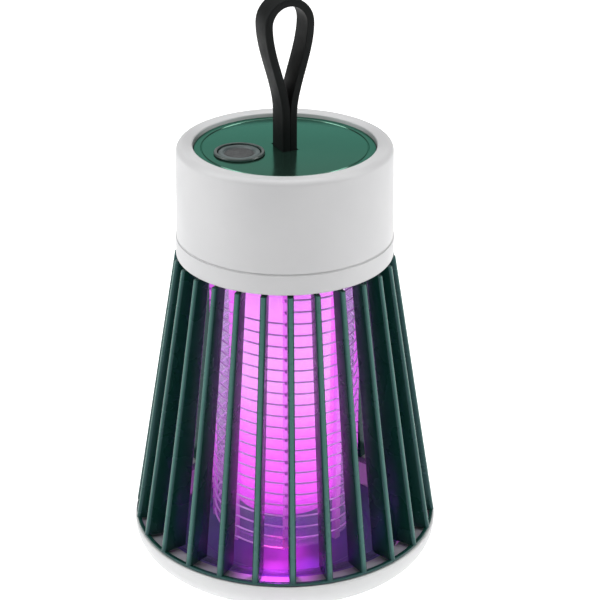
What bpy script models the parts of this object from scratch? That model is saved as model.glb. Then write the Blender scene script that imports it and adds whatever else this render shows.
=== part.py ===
"""Rechargeable electric bug zapper: ribbed cage, wound high-voltage grid round a lamp tube,
housing with battery and electronics on top, and a pull-off dish underneath.

Frame: origin at the centre of the underside, +Z up, power button towards -X, charging socket
towards +Y. Lengths are metres.
"""
import math

import bmesh
import bpy
from mathutils import Matrix, Vector

# ---------------------------------------------------------------- driving dimensions
GAP = 0.0003                # clearance left between pieces that touch
WALL = 0.0020               # moulded wall thickness

BASE_HEIGHT = 0.0140        # underside of the feet to the bottom of the ribs
FOOT_RADIUS = 0.0045
FOOT_CIRCLE = 0.0300        # radius of the circle that the feet stand on
FOOT_COUNT = 3
DISH_RIM_RADIUS = 0.0536
DISH_RIM_Z = 0.01285        # top face of the dish's rim
DISH_RIM_DEPTH = 0.0015     # straight part of the rim's outer face
DISH_EDGE = 0.0006
DISH_WALL_FOOT = 0.0416     # radius where the dish's inner wall meets the ledge
DISH_SKIRT_RADIUS = 0.0440
DISH_SKIRT_Z = 0.0015
DISH_LEDGE_Z = 0.0034       # top face of the ledge that holds the tray
DISH_LEDGE_RADIUS = 0.0385
TRAY_RADIUS = 0.0410
TRAY_THICKNESS = 0.0015
DISH_MOUTH_RADIUS = 0.0462  # inner edge of the dish's rim
SEAL_INNER = 0.0432
SEAL_OUTER = 0.0452

RIB_COUNT = 26
RIB_THICKNESS = 0.0023
RIB_TOP_Z = 0.1120
RIB_OUTER_BOTTOM = 0.0534
RIB_OUTER_TOP = 0.03745
RIB_INNER_BOTTOM = 0.0440
RIB_INNER_TOP = 0.0320
TOP_RING_INNER = 0.0285
TOP_RING_HEIGHT = 0.0027
BOTTOM_RING_INNER = 0.0518
BOTTOM_RING_OUTER = 0.0531

COLLAR_Z = 0.1126
COLLAR_FILLET = 0.0014      # rounding of the collar's lower edge
COLLAR_RADIUS = 0.0368
SEAM_Z = 0.1198             # joint between collar and housing
HOUSING_RADIUS = 0.0366
HOUSING_TOP_RADIUS = 0.0360
HOUSING_TOP_Z = 0.1521
HOUSING_LIP = 0.0023        # rounding of the housing's top edge
CABLE_HOLE_RADIUS = 0.0060  # hole in the housing's floor for the lamp's leads
PLATE_TOP_Z = 0.1503
PLATE_THICKNESS = 0.0020
PLATE_RADIUS = 0.0302

BUTTON_X = -0.0163
BUTTON_RADIUS = 0.0070
BUTTON_PROUD = 0.0006       # height of the cap above the plate
BUTTON_CAP_DEPTH = 0.0032
BUTTON_STEM_RADIUS = 0.0022
BUTTON_STEM_Z = 0.1457
BEZEL_RADIUS = 0.0085

STRAP_WIDTH = 0.0090
STRAP_THICKNESS = 0.0026
STRAP_PIVOT_Z = PLATE_TOP_Z + GAP + STRAP_THICKNESS
STRAP_SPREAD = 0.00735      # largest distance of a leg's middle from the centre
STRAP_SPLIT = 0.0085        # height above the pivot where the legs start to part
STRAP_SHOULDER = 0.0395     # height above the pivot where the legs are furthest apart
STRAP_APEX = 0.0470         # height above the pivot of the loop's middle line
STRAP_ROOT_LOW = 0.1443     # underside of the bar that holds the strap under the plate
STRAP_ROOT_HALF = 0.0055

WINDING_RADIUS = 0.0250
WINDING_TOP_Z = 0.1059
WINDING_BOTTOM_Z = 0.0106
WINDING_TURNS = 11
WINDING_START = math.radians(246)   # direction in which the upper wire begins
WIRE_RADIUS = 0.00035
POST_COUNT = 8
POST_WIDTH = 0.0025
POST_INNER = 0.0214
SLEEVE_INNER = 0.0232       # clear sleeve that carries the wires
SLEEVE_OUTER = 0.0240

LAMP_RADIUS = 0.0185
DIFFUSER_RADIUS = 0.0158
LAMP_BOTTOM_Z = 0.0186
LAMP_TOP_Z = 0.1077
LAMP_FILLET = 0.0040
LAMP_WALL = 0.0015
LAMP_CAP_RADIUS = 0.0260
DIFFUSER_BOTTOM_Z = 0.0230
DIFFUSER_WALL = 0.0012
CORE_RADIUS = 0.0070
CORE_BOTTOM_Z = 0.0280

PCB_Z = 0.1380              # underside of the circuit board
PCB_THICKNESS = 0.0016
BATTERY_RADIUS = 0.0092
BATTERY_LENGTH = 0.0650
BATTERY_Z = 0.1257

USB_Z = 0.1360
USB_HALF_WIDTH = 0.0064     # half the opening in the housing
USB_HALF_HEIGHT = 0.0034

SCREW_COUNT = 3
SCREW_CIRCLE = 0.0290
SCREW_HEAD_RADIUS = 0.0028
SCREW_HEAD_HEIGHT = 0.0018
SCREW_SHANK_RADIUS = 0.0015

FINE = 48                   # steps round the large turned pieces
MEDIUM = 32
SMALL = 20


# ---------------------------------------------------------------- scene and collections
for old in list(bpy.data.objects):
    bpy.data.objects.remove(old)

parts = bpy.data.collections.new("electric_bug_zapper")
cutters = bpy.data.collections.new("cutters")
for collection in (parts, cutters):
    bpy.context.scene.collection.children.link(collection)


# ---------------------------------------------------------------- materials
def material(name, color, roughness, metallic=0.0, transmission=0.0, glow=0.0):
    """One Principled material; glow is its emission strength."""
    made = bpy.data.materials.new(name)
    made.use_nodes = True
    shader = made.node_tree.nodes["Principled BSDF"]
    shader.inputs["Base Color"].default_value = (*color, 1.0)
    shader.inputs["Roughness"].default_value = roughness
    shader.inputs["Metallic"].default_value = metallic
    shader.inputs["Transmission Weight"].default_value = transmission
    shader.inputs["Emission Color"].default_value = (*color, 1.0)
    shader.inputs["Emission Strength"].default_value = glow
    return made


WHITE = material("white_plastic", (0.78, 0.78, 0.78), 0.40)
GREEN = material("dark_green_plastic", (0.006, 0.045, 0.030), 0.28)
PLATE_GREEN = material("plate_green_plastic", (0.035, 0.150, 0.105), 0.22)
GREY = material("button_grey_plastic", (0.045, 0.050, 0.052), 0.38)
BEZEL_GREY = material("bezel_grey_plastic", (0.075, 0.085, 0.090), 0.30)
SILICONE = material("black_silicone", (0.010, 0.012, 0.012), 0.55)
RUBBER = material("black_rubber", (0.012, 0.012, 0.013), 0.75)
SEAL_CLEAR = material("clear_silicone", (0.45, 0.38, 0.55), 0.35, transmission=0.6)
FROSTED = material("frosted_lamp_tube", (0.90, 0.35, 0.95), 0.45, transmission=0.4, glow=1.0)
POST_CLEAR = material("grid_frame_plastic", (0.80, 0.62, 0.86), 0.30, transmission=0.5)
STEEL = material("grid_steel_wire", (0.62, 0.62, 0.65), 0.28, metallic=1.0)
BOARD = material("circuit_board", (0.010, 0.120, 0.045), 0.45)
CELL = material("battery_wrap", (0.030, 0.120, 0.420), 0.35)
METAL = material("plated_metal", (0.70, 0.70, 0.68), 0.30, metallic=1.0)
FERRITE = material("transformer_ferrite", (0.060, 0.055, 0.050), 0.60)
CAP_RED = material("capacitor_film", (0.420, 0.060, 0.030), 0.35)
BLACK = material("black_plastic", (0.018, 0.018, 0.020), 0.45)
TRAY_DARK = material("tray_grey_plastic", (0.060, 0.055, 0.075), 0.35)


# ---------------------------------------------------------------- building helpers
def add(name, mesh, look, location=(0, 0, 0), spin=0.0):
    """Put a mesh in the parts collection as one named sub-part."""
    piece = bpy.data.objects.new(name, mesh)
    piece.location = location
    piece.rotation_euler.z = spin
    if look is not None and not mesh.materials:
        mesh.materials.append(look)
    parts.objects.link(piece)
    return piece


def as_cutter(piece):
    """Move an object to the cutters, where it is only a tool for a Boolean."""
    parts.objects.unlink(piece)
    cutters.objects.link(piece)
    piece.display_type = "WIRE"
    piece.hide_render = True
    return piece


def combine(piece, other, operation):
    """Boolean modifier on a piece, with the other object kept as a cutter."""
    tool = piece.modifiers.new(operation.lower(), "BOOLEAN")
    tool.operation = operation
    tool.solver = "EXACT"
    tool.object = as_cutter(other)


def bevel(piece, width, segments=2, angle=40):
    rounding = piece.modifiers.new("rounding", "BEVEL")
    rounding.width = width
    rounding.segments = segments
    rounding.limit_method = "ANGLE"
    rounding.angle_limit = math.radians(angle)


def turned(name, profile, look, steps=FINE, location=(0, 0, 0)):
    """Turned piece. profile is (radius, z), clockwise: down the outer side and up the inner one.
    A profile that starts and ends on the axis is solid, any other is closed into a ring."""
    mesh = bpy.data.meshes.new(name)
    last = len(profile) - 1
    edges = [(i, i + 1) for i in range(last)]
    if profile[0][0] > 0:
        edges.append((last, 0))
    mesh.from_pydata([(r, 0, z) for r, z in profile], edges, [])
    piece = add(name, mesh, look, location)
    lathe = piece.modifiers.new("lathe", "SCREW")
    lathe.axis = "Z"
    lathe.steps = steps
    lathe.render_steps = steps
    lathe.use_merge_vertices = True
    lathe.merge_threshold = 0.00001
    lathe.use_smooth_shade = True
    return piece


def cylinder(name, radius, low, high, look, steps=SMALL, location=(0, 0, 0)):
    return turned(name, [(0, high), (radius, high), (radius, low), (0, low)], look, steps, location)


def ring(name, inner, outer, low, high, look, steps=FINE):
    profile = [(inner, high), (outer, high), (outer, low), (inner, low)]
    return turned(name, profile, look, steps)


def block(name, low, high, look, rounding=0.0):
    """Box between two corners, with its origin at its centre."""
    low, high = Vector(low), Vector(high)
    mesh = bpy.data.meshes.new(name)
    shape = bmesh.new()
    bmesh.ops.create_cube(shape, size=1.0, matrix=Matrix.Diagonal((*(high - low), 1.0)))
    shape.to_mesh(mesh)
    shape.free()
    piece = add(name, mesh, look, (low + high) / 2)
    if rounding:
        bevel(piece, rounding)
    return piece


def outline(name, loops, half_width, look, location=(0, 0, 0)):
    """Flat outline in the XZ plane, thickened along Y. Later loops are holes in the first."""
    curve = bpy.data.curves.new(name, "CURVE")
    curve.dimensions = "2D"
    curve.fill_mode = "BOTH"
    curve.extrude = half_width
    for loop in loops:
        spline = curve.splines.new("POLY")
        spline.points.add(len(loop) - 1)
        for point, (x, z) in zip(spline.points, loop):
            point.co = (x, z, 0, 1)
        spline.use_cyclic_u = True
    curve.materials.append(look)
    piece = bpy.data.objects.new(name, curve)
    piece.location = location
    piece.rotation_euler.x = math.pi / 2
    parts.objects.link(piece)
    weld = piece.modifiers.new("weld", "WELD")
    weld.merge_threshold = 0.00001
    return piece


def on_circle(radius, angle):
    return radius * math.cos(angle), radius * math.sin(angle)


# ---------------------------------------------------------------- dish, seal and feet
def make_base():
    rim_r = DISH_RIM_RADIUS
    rim_z = DISH_RIM_Z
    edge = DISH_EDGE
    shoulder = rim_z - DISH_RIM_DEPTH
    depth = shoulder - DISH_SKIRT_Z
    sweep = [math.radians(a) for a in range(0, 91, 15)]
    # The skirt is a quarter ellipse from the rim's edge in to the foot of the dish.
    outer = [(DISH_SKIRT_RADIUS + (rim_r - DISH_SKIRT_RADIUS) * math.cos(a), shoulder - depth * math.sin(a))
             for a in sweep]
    inner = [(r - WALL, z + 0.0004) for r, z in reversed(outer[2:-1])]
    wall_foot = DISH_WALL_FOOT
    profile = [(DISH_MOUTH_RADIUS, rim_z), (rim_r - edge, rim_z), (rim_r, rim_z - edge)]
    profile += outer + [(outer[-1][0] - WALL, DISH_SKIRT_Z)] + inner
    profile += [(rim_r - WALL, rim_z - WALL), (DISH_MOUTH_RADIUS + 0.0010, rim_z - WALL),
                (wall_foot + 0.0012, DISH_LEDGE_Z), (wall_foot, DISH_LEDGE_Z - 0.0012),
                (DISH_LEDGE_RADIUS, DISH_LEDGE_Z - 0.0012), (DISH_LEDGE_RADIUS, DISH_LEDGE_Z),
                (wall_foot - 0.0002, DISH_LEDGE_Z), (wall_foot, DISH_LEDGE_Z + 0.0020)]
    turned("base_dish", profile, WHITE)

    tray_low = DISH_LEDGE_Z + GAP
    cylinder("insect_tray", TRAY_RADIUS, tray_low, tray_low + TRAY_THICKNESS, TRAY_DARK, FINE)
    ring("base_seal", SEAL_INNER, SEAL_OUTER, rim_z - DISH_EDGE, BASE_HEIGHT - GAP, SEAL_CLEAR)

    for i in range(FOOT_COUNT):
        x, y = on_circle(FOOT_CIRCLE, math.radians(90 + 360 * i / FOOT_COUNT))
        top = tray_low - GAP
        profile = [(0, top), (FOOT_RADIUS, top), (FOOT_RADIUS, edge), (FOOT_RADIUS - edge, 0), (0, 0)]
        turned(f"rubber_foot_{i + 1}", profile, RUBBER, SMALL, (x, y, 0))


# ---------------------------------------------------------------- cage
def rib_mesh():
    """Tapered rib in the XZ plane: a block whose corners follow the cone's two slopes."""
    radius = {(-1, -1): RIB_INNER_BOTTOM, (1, -1): RIB_OUTER_BOTTOM,
              (-1, 1): RIB_INNER_TOP, (1, 1): RIB_OUTER_TOP}
    mesh = bpy.data.meshes.new("rib")
    shape = bmesh.new()
    bmesh.ops.create_cube(shape, size=2.0)
    for v in shape.verts:
        side, height = round(v.co.x), round(v.co.z)
        v.co = (radius[side, height], v.co.y * RIB_THICKNESS / 2, BASE_HEIGHT if height < 0 else RIB_TOP_Z)
    shape.to_mesh(mesh)
    shape.free()
    return mesh


def make_cage():
    mesh = rib_mesh()
    for i in range(RIB_COUNT):
        rib = add(f"cage_rib_{i + 1:02d}", mesh, GREEN, spin=math.pi + 2 * math.pi * i / RIB_COUNT)
        bevel(rib, 0.0007, segments=1)
    ring("cage_top_ring", TOP_RING_INNER, RIB_INNER_TOP - GAP, RIB_TOP_Z - TOP_RING_HEIGHT, RIB_TOP_Z, GREEN)
    ring("cage_bottom_ring", BOTTOM_RING_INNER, BOTTOM_RING_OUTER, DISH_RIM_Z + GAP, BASE_HEIGHT - GAP,
         GREEN)


# ---------------------------------------------------------------- housing
def make_housing():
    collar_top = SEAM_Z - 0.0002
    edge = COLLAR_FILLET
    fillet = [(COLLAR_RADIUS - edge * (1 - math.cos(a)), COLLAR_Z + edge * (1 - math.sin(a)))
              for a in [math.radians(degrees) for degrees in (0, 30, 60, 90)]]
    turned("lower_collar", [(COLLAR_RADIUS - WALL, collar_top), (COLLAR_RADIUS, collar_top), *fillet,
                            (COLLAR_RADIUS - WALL, COLLAR_Z)], WHITE)

    lip = HOUSING_LIP
    low = SEAM_Z + 0.0002
    ledge = PLATE_TOP_Z - PLATE_THICKNESS - GAP
    mouth = PLATE_RADIUS + GAP
    arc = [math.radians(a) for a in (90, 60, 30, 0)]
    shoulder = [(HOUSING_TOP_RADIUS - lip + lip * math.cos(a), HOUSING_TOP_Z - lip + lip * math.sin(a))
                for a in arc]
    profile = [(mouth, HOUSING_TOP_Z - 0.0003), (mouth + 0.0003, HOUSING_TOP_Z)] + shoulder
    profile += [(HOUSING_RADIUS, low), (HOUSING_RADIUS - WALL, low),
                (HOUSING_TOP_RADIUS - WALL, ledge - WALL), (mouth - WALL, ledge - WALL),
                (mouth - WALL, ledge), (mouth, ledge)]
    housing = turned("top_housing", profile, WHITE)
    opening = block("usb_opening_cutter", (-USB_HALF_WIDTH, 0.030, USB_Z - USB_HALF_HEIGHT),
                    (USB_HALF_WIDTH, 0.040, USB_Z + USB_HALF_HEIGHT), None)
    combine(housing, opening, "DIFFERENCE")

    plate = cylinder("top_plate", PLATE_RADIUS, PLATE_TOP_Z - PLATE_THICKNESS, PLATE_TOP_Z, PLATE_GREEN, FINE)
    combine(plate, cylinder("button_hole_cutter", BUTTON_RADIUS + GAP, PLATE_TOP_Z - 0.004,
                            PLATE_TOP_Z + 0.002, None, MEDIUM, (BUTTON_X, 0, 0)), "DIFFERENCE")
    slot = (STRAP_THICKNESS + GAP, STRAP_WIDTH / 2 + GAP)
    combine(plate, block("strap_slot_cutter", (-slot[0], -slot[1], PLATE_TOP_Z - 0.004),
                         (slot[0], slot[1], PLATE_TOP_Z + 0.002), None), "DIFFERENCE")

    bulkhead_low = COLLAR_Z + GAP
    bulkhead = ring("bulkhead", CABLE_HOLE_RADIUS, COLLAR_RADIUS - WALL - GAP,
                    bulkhead_low, bulkhead_low + WALL, WHITE, MEDIUM)
    for i in range(SCREW_COUNT):
        angle = math.radians(30 + 360 * i / SCREW_COUNT)
        x, y = on_circle(SCREW_CIRCLE, angle)
        hole = cylinder(f"screw_hole_cutter_{i + 1}", SCREW_SHANK_RADIUS + GAP, bulkhead_low - 0.002,
                        bulkhead_low + 0.005, None, SMALL, (x, y, 0))
        combine(bulkhead, hole, "DIFFERENCE")
        head = bulkhead_low + WALL + GAP
        crown = head + SCREW_HEAD_HEIGHT
        profile = [(0, crown), (SCREW_HEAD_RADIUS, crown), (SCREW_HEAD_RADIUS, head),
                   (SCREW_SHANK_RADIUS, head), (SCREW_SHANK_RADIUS, bulkhead_low), (0, bulkhead_low)]
        turned(f"housing_screw_{i + 1}", profile, METAL, SMALL, (x, y, 0))


# ---------------------------------------------------------------- button
def make_button():
    low = PLATE_TOP_Z + GAP
    bezel = [(BUTTON_RADIUS + GAP, low + 0.0006), (BEZEL_RADIUS - 0.0004, low + 0.0006),
             (BEZEL_RADIUS, low + 0.0002), (BEZEL_RADIUS, low), (BUTTON_RADIUS + GAP, low)]
    turned("button_bezel", bezel, BEZEL_GREY, MEDIUM, (BUTTON_X, 0, 0))

    top = PLATE_TOP_Z + BUTTON_PROUD
    under = top - BUTTON_CAP_DEPTH
    stem_r, stem = BUTTON_STEM_RADIUS, BUTTON_STEM_Z
    profile = [(0, top - 0.0004), (0.0046, top - 0.0003), (0.0052, top), (BUTTON_RADIUS - 0.0004, top),
               (BUTTON_RADIUS, top - 0.0004), (BUTTON_RADIUS, under), (stem_r, under), (stem_r, stem),
               (0, stem)]
    turned("power_button", profile, GREY, MEDIUM, (BUTTON_X, 0, 0))


# ---------------------------------------------------------------- strap
def strap_leg(height):
    """Distance of a leg's middle line from the centre at a height above the pivot."""
    part = min(max((height - STRAP_SPLIT) / (STRAP_SHOULDER - STRAP_SPLIT), 0), 1)
    return STRAP_THICKNESS / 2 + (STRAP_SPREAD - STRAP_THICKNESS / 2) * part * part * (3 - 2 * part)


def strap_side(offset, start):
    """Right half of the loop from start up to the apex, offset outwards from the middle line."""
    side = []
    for i in range(17):
        height = start + (STRAP_SHOULDER - start) * i / 16
        slope = (strap_leg(height + 1e-5) - strap_leg(height - 1e-5)) / 2e-5
        length = math.hypot(1, slope)
        side.append((strap_leg(height) + offset / length, height - offset * slope / length))
    for i in range(1, 9):
        angle = math.radians(90 * i / 8)
        side.append(((STRAP_SPREAD + offset) * math.cos(angle),
                     STRAP_SHOULDER + (STRAP_APEX - STRAP_SHOULDER + offset) * math.sin(angle)))
    return side


def mirrored_loop(side):
    """Closed loop from a right half that ends on the centre line."""
    return side + [(-x, z) for x, z in reversed(side[:-1])]


def make_strap():
    half = STRAP_THICKNESS / 2
    outer = mirrored_loop(strap_side(half, 0.0))
    end = [on_circle(STRAP_THICKNESS, math.radians(a)) for a in range(200, 341, 20)]
    hole = mirrored_loop(strap_side(-half, 0.0150))
    outline("strap", [outer + end, hole], STRAP_WIDTH / 2, SILICONE, (0, 0, STRAP_PIVOT_Z))

    bar, bar_low = STRAP_ROOT_HALF, STRAP_ROOT_LOW
    bar_high = PLATE_TOP_Z - PLATE_THICKNESS - GAP
    stem = STRAP_THICKNESS
    top = PLATE_TOP_Z - GAP
    loop = [(-bar, bar_low), (bar, bar_low), (bar, bar_high), (stem, bar_high), (stem, top),
            (-stem, top), (-stem, bar_high), (-bar, bar_high)]
    outline("strap_root", [loop], STRAP_WIDTH / 2, SILICONE)


# ---------------------------------------------------------------- lamp and grid
def make_lamp():
    wall, fillet = LAMP_WALL, LAMP_FILLET
    arc = [math.radians(a) for a in (0, 30, 60, 90)]
    outer = [(LAMP_RADIUS - fillet + fillet * math.cos(a), LAMP_BOTTOM_Z + fillet - fillet * math.sin(a))
             for a in arc]
    inner = [(LAMP_RADIUS - fillet + (fillet - wall) * math.cos(a),
              LAMP_BOTTOM_Z + fillet - (fillet - wall) * math.sin(a)) for a in reversed(arc)]
    mouth = [(LAMP_RADIUS - wall, LAMP_TOP_Z), (LAMP_RADIUS, LAMP_TOP_Z)]
    profile = [(0, LAMP_BOTTOM_Z + wall)] + inner + mouth + outer + [(0, LAMP_BOTTOM_Z)]
    turned("lamp_tube", profile, FROSTED, MEDIUM)

    cap_r, cap_high, cap_low, edge = LAMP_CAP_RADIUS, RIB_TOP_Z + GAP, LAMP_TOP_Z + GAP, 0.0005
    turned("lamp_cap", [(0, cap_high), (cap_r - edge, cap_high), (cap_r, cap_high - edge),
                        (cap_r, cap_low + edge), (cap_r - edge, cap_low), (0, cap_low)], BLACK, MEDIUM)
    top = LAMP_TOP_Z - GAP
    r, low, skin = DIFFUSER_RADIUS, DIFFUSER_BOTTOM_Z, DIFFUSER_WALL
    turned("lamp_diffuser", [(0, low + skin), (r - skin, low + skin), (r - skin, top), (r, top),
                             (r, low + skin), (r - skin, low), (0, low)], FROSTED, MEDIUM)
    turned("led_core", [(0, top), (CORE_RADIUS, top), (CORE_RADIUS, CORE_BOTTOM_Z), (0, CORE_BOTTOM_Z)],
           METAL, 6)


def grid_wire(name, start):
    """One of the two interleaved wires: a helix from the top of the grid to its bottom."""
    per_turn = 20
    pitch = (WINDING_TOP_Z - WINDING_BOTTOM_Z) / WINDING_TURNS
    count = round((WINDING_TURNS - start) * per_turn)
    curve = bpy.data.curves.new(name, "CURVE")
    curve.dimensions = "3D"
    curve.bevel_depth = WIRE_RADIUS
    curve.bevel_resolution = 0
    curve.use_fill_caps = True
    spline = curve.splines.new("POLY")
    spline.points.add(count)
    for i, point in enumerate(spline.points):
        x, y = on_circle(WINDING_RADIUS, WINDING_START + 2 * math.pi * i / per_turn)
        point.co = (x, y, WINDING_TOP_Z - start * pitch - pitch * i / per_turn, 1)
    curve.materials.append(STEEL)
    parts.objects.link(bpy.data.objects.new(name, curve))


def make_grid():
    grid_wire("grid_wire_a", 0.0)
    grid_wire("grid_wire_b", 0.5)

    low = WINDING_BOTTOM_Z - 0.0004
    shelf = 0.0020
    frame = turned("grid_frame", [(SLEEVE_OUTER, LAMP_TOP_Z), (SLEEVE_OUTER, low), (POST_INNER, low),
                                  (POST_INNER, low + shelf), (SLEEVE_INNER, low + shelf),
                                  (SLEEVE_INNER, LAMP_TOP_Z - shelf), (POST_INNER, LAMP_TOP_Z - shelf),
                                  (POST_INNER, LAMP_TOP_Z)], POST_CLEAR, MEDIUM)
    for i in range(POST_COUNT):
        angle = math.radians(22.5 + 360 * i / POST_COUNT)
        post = block(f"post_tool_{i + 1}", (-0.0009, -POST_WIDTH / 2, low + shelf / 2),
                     (0.0009, POST_WIDTH / 2, LAMP_TOP_Z - shelf / 2), None)
        post.location.x, post.location.y = on_circle(POST_INNER + 0.0012, angle)
        post.rotation_euler.z = angle
        combine(frame, post, "UNION")


# ---------------------------------------------------------------- electronics
def make_electronics():
    under = PCB_Z - GAP
    top = PCB_Z + PCB_THICKNESS
    cylinder("main_pcb", 0.0310, PCB_Z, top, BOARD, MEDIUM)

    switch = block("tact_switch", (BUTTON_X - 0.003, -0.003, top + GAP), (BUTTON_X + 0.003, 0.003, 0.1434),
                   BLACK)
    plunger = cylinder("plunger_tool", 0.0016, 0.1430, 0.1442, None, SMALL, (BUTTON_X, 0, 0))
    combine(switch, plunger, "UNION")

    block("hv_transformer", (-0.0075, 0.0120, 0.1265), (0.0075, 0.0250, under), FERRITE, 0.0008)
    cylinder("hv_capacitor", 0.0050, 0.1240, under, CAP_RED, SMALL, (-0.0140, -0.0190, 0))

    end = BATTERY_LENGTH / 2
    cell = turned("battery_cell", [(0, end), (BATTERY_RADIUS - 0.0004, end), (BATTERY_RADIUS, end - 0.0004),
                                   (BATTERY_RADIUS, -end + 0.0004), (BATTERY_RADIUS - 0.0004, -end),
                                   (0, -end)], CELL, 32, (0, 0, BATTERY_Z))
    cell.rotation_euler.y = math.pi / 2
    bracket = block("battery_bracket", (-0.0240, -0.0085, COLLAR_Z + WALL + 2 * GAP),
                    (0.0240, 0.0085, BATTERY_Z - 0.0045), BLACK)
    saddle = cylinder("saddle_cutter", BATTERY_RADIUS + GAP, -0.040, 0.040, None, 32, (0, 0, BATTERY_Z))
    saddle.rotation_euler.y = math.pi / 2
    combine(bracket, saddle, "DIFFERENCE")


def make_charging_port():
    socket = block("usb_socket", (-0.0045, 0.0272, USB_Z - 0.0016), (0.0045, 0.0340, USB_Z + 0.0016), METAL)
    mouth = block("usb_mouth_cutter", (-0.0040, 0.0290, USB_Z - 0.0012), (0.0040, 0.0360, USB_Z + 0.0012),
                  None)
    combine(socket, mouth, "DIFFERENCE")

    # The cover is the piece of the housing's curved wall that fills the opening.
    pivot = Vector((0, 0.0366, USB_Z - USB_HALF_HEIGHT + GAP))
    taper = (HOUSING_RADIUS - HOUSING_TOP_RADIUS) / (HOUSING_TOP_Z - SEAM_Z)
    outer = HOUSING_RADIUS - taper * (USB_Z - SEAM_Z)
    cover = block("usb_cover", (-USB_HALF_WIDTH + GAP, 0.0340, USB_Z - USB_HALF_HEIGHT + GAP),
                  (USB_HALF_WIDTH - GAP, 0.0380, USB_Z + USB_HALF_HEIGHT - GAP), RUBBER)
    for v in cover.data.vertices:
        v.co += cover.location - pivot
    cover.location = pivot
    wall = ring("cover_wall_tool", outer - 0.0016, outer - 0.0001, USB_Z - 0.010, USB_Z + 0.010, None, 128)
    combine(cover, wall, "INTERSECT")


make_base()
make_cage()
make_housing()
make_button()
make_strap()
make_lamp()
make_grid()
make_electronics()
make_charging_port()

for piece in parts.objects:
    if piece.type == "MESH":
        piece.data.shade_smooth()
        piece.data.set_sharp_from_angle(angle=math.radians(35))
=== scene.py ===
"""Looks of a rechargeable electric bug zapper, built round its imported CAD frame. Lengths are metres."""

import math

import bmesh
import bpy
from mathutils import Matrix, Vector


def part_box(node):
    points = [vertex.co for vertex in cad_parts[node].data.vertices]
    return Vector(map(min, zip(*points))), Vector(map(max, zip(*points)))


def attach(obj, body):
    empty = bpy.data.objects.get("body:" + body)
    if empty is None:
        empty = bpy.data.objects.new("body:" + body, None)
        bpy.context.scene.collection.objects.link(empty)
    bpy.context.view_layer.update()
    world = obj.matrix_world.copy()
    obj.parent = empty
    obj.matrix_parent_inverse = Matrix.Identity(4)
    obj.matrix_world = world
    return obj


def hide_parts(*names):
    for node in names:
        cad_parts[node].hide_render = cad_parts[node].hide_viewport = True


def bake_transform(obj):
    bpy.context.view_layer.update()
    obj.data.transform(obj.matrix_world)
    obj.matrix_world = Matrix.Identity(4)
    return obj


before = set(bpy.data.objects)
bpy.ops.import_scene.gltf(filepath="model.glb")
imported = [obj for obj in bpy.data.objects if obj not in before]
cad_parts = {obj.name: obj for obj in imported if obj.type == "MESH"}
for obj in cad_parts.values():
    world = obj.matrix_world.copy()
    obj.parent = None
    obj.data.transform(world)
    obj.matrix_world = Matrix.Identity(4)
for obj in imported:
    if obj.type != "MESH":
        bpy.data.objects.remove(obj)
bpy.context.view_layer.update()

MM = 0.001
TURN = 2 * math.pi


# ---------------------------------------------------------------- places read from the frame
def span(node):
    """(outer radius about the node's own middle, lowest z, highest z) of a round CAD node."""
    low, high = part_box(node)
    return (high.x - low.x) / 2, low.z, high.z


def middle(node):
    low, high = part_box(node)
    return (low + high) / 2


DISH_R, DISH_LOW, DISH_TOP = span("base_dish")
TRAY_R, TRAY_LOW, TRAY_TOP = span("insect_tray")
SEAL_R, SEAL_LOW, SEAL_TOP = span("base_seal")
CAGE_RING_R, CAGE_RING_LOW, CAGE_RING_TOP = span("cage_bottom_ring")
TOP_RING_R, TOP_RING_LOW, TOP_RING_TOP = span("cage_top_ring")
RIBS = sorted(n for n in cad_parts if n.startswith("cage_rib_"))
RIB_LOW, RIB_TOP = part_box(RIBS[0])[0].z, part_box(RIBS[0])[1].z
COLLAR_R, COLLAR_LOW, COLLAR_TOP = span("lower_collar")
HOUSING_R, HOUSING_LOW, HOUSING_TOP = span("top_housing")
PLATE_R, PLATE_LOW, PLATE_TOP = span("top_plate")
BUTTON_AT = middle("power_button")
BUTTON_R, BUTTON_LOW, BUTTON_TOP = span("power_button")
BEZEL_R, BEZEL_LOW, BEZEL_TOP = span("button_bezel")
SLEEVE_R, SLEEVE_LOW, SLEEVE_TOP = span("grid_frame")
LAMP_R, LAMP_LOW, LAMP_TOP = span("lamp_tube")
DIFFUSER_R, DIFFUSER_LOW, DIFFUSER_TOP = span("lamp_diffuser")

RIB_THICKNESS = 2.3 * MM
RIB_OUTER = (53.4 * MM, 37.45 * MM)     # outer edge at the bottom and at the top
RIB_INNER = (44.0 * MM, 32.0 * MM)
WALL = 2.0 * MM
WIRE_R = 0.33 * MM
STRAP_HALF = 1.30 * MM          # half the strap's thickness
STRAP_HALF_WIDTH = 4.5 * MM
STRAP_SPLIT = 8.5 * MM          # height above its fold where the strap's legs start to part
STRAP_SHOULDER = 39.5 * MM      # height above its fold where the loop is widest
GAP = 0.3 * MM                  # clearance between neighbouring pieces
WINDING_R = 25.0 * MM
WINDING_TOP = 105.9 * MM
WINDING_LOW = 10.6 * MM
WINDING_TURNS = 11
WINDING_START = math.radians(246)
WINDING_STEP = (WINDING_TOP - WINDING_LOW) / WINDING_TURNS / 2     # height from one wire to the next
POSTS = 8


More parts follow.
